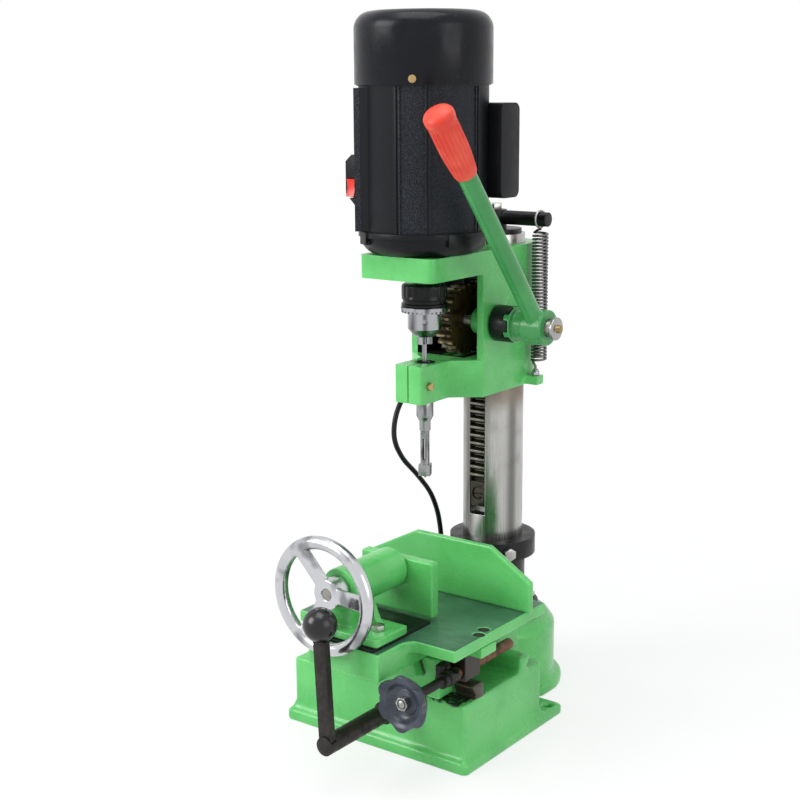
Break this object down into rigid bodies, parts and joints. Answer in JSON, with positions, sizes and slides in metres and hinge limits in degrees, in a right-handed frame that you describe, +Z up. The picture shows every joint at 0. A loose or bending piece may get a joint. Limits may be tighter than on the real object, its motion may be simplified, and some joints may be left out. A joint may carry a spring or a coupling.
{
  "type": "benchtop mortiser",
  "caption": "Bench mortising machine: rack-fed motor head on a round column, hollow chisel in a nose clamp, cross-sliding table with a fence and a screw vise.",
  "frame": {"origin": "on the bench, straight below the chisel's axis", "axes": "+Z up the column and the longest side, +X to the operator's right, +Y to the back"},
  "size_m": [0.258, 0.565, 0.78],
  "materials": {
    "green_enamel": "gloss enamel on cast iron",
    "black_enamel": "satin black enamel on cast iron",
    "fan_cover_black": "satin black pressed steel",
    "bright_steel": "turned steel",
    "oiled_steel": "dark, oily steel with rust in the thread",
    "greasy_gear": "cut steel under yellow grease",
    "chrome": "polished plating",
    "yellow_zinc": "yellow zinc plating",
    "stator_stack": "laminations and varnished windings",
    "black_plastic": "glossy moulding",
    "dull_plastic": "matt moulding",
    "cord_rubber": "smooth black sheath",
    "red_grip": "ribbed red sleeve",
    "red_rocker": "glossy red rocker"
  },
  "bodies": {
    "base": {"base_casting": "green_enamel", "column_sleeve": "black_enamel", "frame_bolts": "bright_steel", "column": "bright_steel", "column_rack": "bright_steel", "rack_stop": "bright_steel", "spring_arm": "black_enamel", "mains_cord": "cord_rubber", "cord_coil": "cord_rubber", "cord_tie": "dull_plastic", "mains_plug": "black_plastic"},
    "saddle": {"saddle_casting": "green_enamel", "saddle_gib": "bright_steel", "saddle_rack": "bright_steel", "screw_bracket": "black_enamel"},
    "table": {"work_table": "green_enamel", "feed_nut_block": "green_enamel", "table_screws": "bright_steel", "fence": "green_enamel", "vise_slide_plate": "black_enamel", "vise_body": "green_enamel"},
    "jaw": {"vise_jaw": "green_enamel"},
    "handwheel": {"handwheel": "chrome", "vise_screw": "bright_steel"},
    "feed": {"feed_screw": "oiled_steel", "feed_knob": "dull_plastic", "feed_knob_nut": "chrome"},
    "crank": {"crank_shaft": "oiled_steel", "crank_pinion": "bright_steel", "crank_arm": "oiled_steel", "crank_ball": "black_plastic"},
    "head": {"head_casting": "green_enamel", "chisel_clamp_bolt": "yellow_zinc", "chisel_bush": "black_enamel", "hollow_chisel": "chrome", "pinion_bushes": "yellow_zinc", "motor_end_bell": "black_enamel", "motor_body": "black_enamel", "motor_stator": "stator_stack", "fan_cover": "fan_cover_black", "motor_screws": "yellow_zinc", "motor_bearings": "bright_steel", "switch_box": "dull_plastic", "capacitor_box": "black_enamel", "cord_gland": "dull_plastic", "spring_stud": "chrome", "return_spring": "bright_steel"},
    "rocker": {"switch_rocker": "red_rocker"},
    "spindle": {"motor_rotor": "bright_steel", "motor_fan": "dull_plastic", "chuck_body": "chrome", "auger_bit": "chrome"},
    "chuck_ring": {"chuck_ring": "chrome"},
    "pinion": {"head_pinion": "greasy_gear", "pinion_shaft": "bright_steel", "clutch_collar": "black_enamel", "lever_end_bolt": "yellow_zinc"},
    "lever": {"lever": "green_enamel", "lever_grip": "red_grip"}
  },
  "joints": [
    {"name": "head_slide", "type": "slide", "parent": "base", "child": "head", "axis": [0, 0, 1], "range_m": [-0.06, 0], "stiffness_N_per_m": 1500, "springref_m": 0.2, "deforming": ["return_spring", "mains_cord"]},
    {"name": "spindle_spin", "type": "hinge", "parent": "head", "child": "spindle", "pos_m": [0, 0, 0.45], "axis": [0, 0, 1], "continuous": true},
    {"name": "chuck_ring_turn", "type": "hinge", "parent": "spindle", "child": "chuck_ring", "pos_m": [0, 0, 0.467], "axis": [0, 0, 1], "continuous": true},
    {"name": "pinion_turn", "type": "hinge", "parent": "head", "child": "pinion", "pos_m": [0, 0.0695, 0.45], "axis": [1, 0, 0], "range_deg": [0, 96]},
    {"name": "lever_pull", "type": "slide", "parent": "pinion", "child": "lever", "axis": [1, 0, 0], "range_m": [0, 0.007], "stiffness_N_per_m": 600, "springref_m": -0.01},
    {"name": "switch_rock", "type": "hinge", "parent": "head", "child": "rocker", "pos_m": [-0.0665, -0.037, 0.599], "axis": [1, 0, 0], "range_deg": [0, 18]},
    {"name": "saddle_slide", "type": "slide", "parent": "base", "child": "saddle", "axis": [1, 0, 0], "range_m": [-0.04, 0.04]},
    {"name": "crank_turn", "type": "hinge", "parent": "base", "child": "crank", "pos_m": [0.034, -0.1, 0.057], "axis": [0, 1, 0], "range_deg": [-96, 96]},
    {"name": "feed_knob_turn", "type": "hinge", "parent": "saddle", "child": "feed", "pos_m": [0.1, -0.1, 0.105], "axis": [0, -1, 0], "range_deg": [0, 4820]},
    {"name": "table_slide", "type": "slide", "parent": "saddle", "child": "table", "axis": [0, 1, 0], "range_m": [0, 0.04]},
    {"name": "handwheel_turn", "type": "hinge", "parent": "table", "child": "handwheel", "pos_m": [0.01, -0.19, 0.202], "axis": [0, 1, 0], "range_deg": [0, 5400]},
    {"name": "jaw_slide", "type": "slide", "parent": "table", "child": "jaw", "axis": [0, 1, 0], "range_m": [0, 0.0601]}
  ],
  "couplings": [
    {"joint": "pinion_turn", "follows": "head_slide", "rad_per_m": -27.778},
    {"joint": "crank_turn", "follows": "saddle_slide", "rad_per_m": 41.667},
    {"joint": "feed_knob_turn", "follows": "table_slide", "rad_per_m": 2094.4},
    {"joint": "jaw_slide", "follows": "handwheel_turn", "m_per_rad": 0.00063662}
  ]
}
